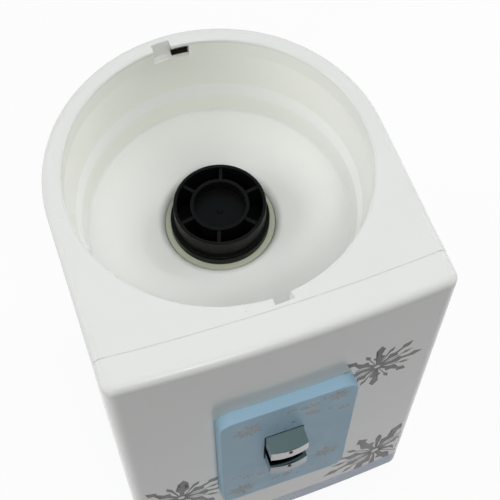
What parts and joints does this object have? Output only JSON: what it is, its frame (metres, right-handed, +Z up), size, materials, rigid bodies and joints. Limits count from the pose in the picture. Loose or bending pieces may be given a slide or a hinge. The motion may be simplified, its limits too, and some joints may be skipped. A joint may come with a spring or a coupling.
{
  "type": "water_dispenser",
  "caption": "Countertop water dispenser with an open bottle well on top, a light blue front panel and a chrome push lever tap.",
  "frame": {"origin": "on the worktop under the middle of the whole object's outline, tap and panel included", "axes": "+Z up, -Y towards the tap side, +X to the right as seen from the tap side"},
  "size_m": [0.29, 0.3422, 0.44],
  "materials": {
    "base_shell": "satin pale blue moulding",
    "feet": "moulded black rubber",
    "screws": "zinc plated",
    "white_shell": "glossy white moulding",
    "front_shell": "glossy white moulding with a grey snowflake print",
    "panel_blue": "satin light blue moulding with a faint print",
    "tap_plastic": "matt black moulding",
    "chrome": "bright chrome plate",
    "rivets": "gloss black",
    "steel_pin": "crimped steel",
    "seal_rubber": "black silicone",
    "spring_steel": "spring wire",
    "plug_black": "gloss black moulding",
    "seal_green": "translucent grey-green silicone",
    "tank_plastic": "natural moulding",
    "tank_steel": "stainless steel",
    "foam": "expanded foam",
    "hose": "silicone hose",
    "cap_blue": "pale blue moulding",
    "aluminium_block": "extruded",
    "ceramic": "white ceramic",
    "fan_black": "matt black moulding",
    "circuit_board": "solder mask",
    "components": "moulded components",
    "inlet_black": "moulded black",
    "pin_metal": "nickel plated brass",
    "rocker": "gloss black"
  },
  "bodies": {
    "housing": {"base_tray": "base_shell", "rubber_feet": "feet", "base_screws": "screws", "rear_housing": "white_shell", "top_cover": "white_shell", "front_cover": "front_shell", "tap_panel": "panel_blue", "tap_body": "tap_plastic", "spout_cowl": "chrome", "cowl_lens": "rivets", "lever_pin": "steel_pin", "valve_spring": "spring_steel", "neck_seal": "seal_green", "tank_lid": "tank_plastic", "water_tank": "tank_steel", "foam_jacket": "foam", "outlet_hose": "hose", "drain_pipe": "hose", "cold_block": "aluminium_block", "thermo_module": "ceramic", "heat_sink": "aluminium_block", "sink_screws": "screws", "fan_frame": "fan_black", "power_board": "circuit_board", "board_parts": "components", "board_screws": "screws", "power_inlet": "inlet_black", "inlet_pins": "pin_metal", "switch_frame": "inlet_black", "temperature_probe": "steel_pin"},
    "plug": {"inlet_plug": "plug_black"},
    "lever": {"tap_lever": "chrome", "lever_lens": "rivets"},
    "plunger": {"valve_plunger": "steel_pin", "valve_seal": "seal_rubber"},
    "rotor": {"fan_rotor": "fan_black"},
    "rocker": {"switch_rocker": "rocker"},
    "cap": {"drain_cap": "cap_blue"}
  },
  "joints": [
    {"name": "plug_lift", "type": "slide", "parent": "housing", "child": "plug", "axis": [0, 0, 1], "range_m": [0, 0.12]},
    {"name": "lever_hinge", "type": "hinge", "parent": "housing", "child": "lever", "pos_m": [-0.0035, -0.15015, 0.2655], "axis": [1, 0, 0], "range_deg": [0, 18], "stiffness_Nm_per_rad": 0.02, "springref_deg": -20.05},
    {"name": "plunger_slide", "type": "slide", "parent": "housing", "child": "plunger", "axis": [0, 0, -1], "range_m": [0, 0.00274], "deforming": ["valve_spring"]},
    {"name": "rotor_spin", "type": "hinge", "parent": "housing", "child": "rotor", "pos_m": [0, 0.13305, 0.269], "axis": [0, 1, 0], "continuous": true},
    {"name": "rocker_tilt", "type": "hinge", "parent": "housing", "child": "rocker", "pos_m": [0.004, 0.14515, 0.065], "axis": [0, 0, 1], "range_deg": [0, 24]},
    {"name": "cap_pull", "type": "slide", "parent": "housing", "child": "cap", "axis": [0, 1, 0], "range_m": [0, 0.04]}
  ],
  "couplings": [
    {"joint": "lever_hinge", "follows": "plunger_slide", "rad_per_m": 114.5}
  ]
}
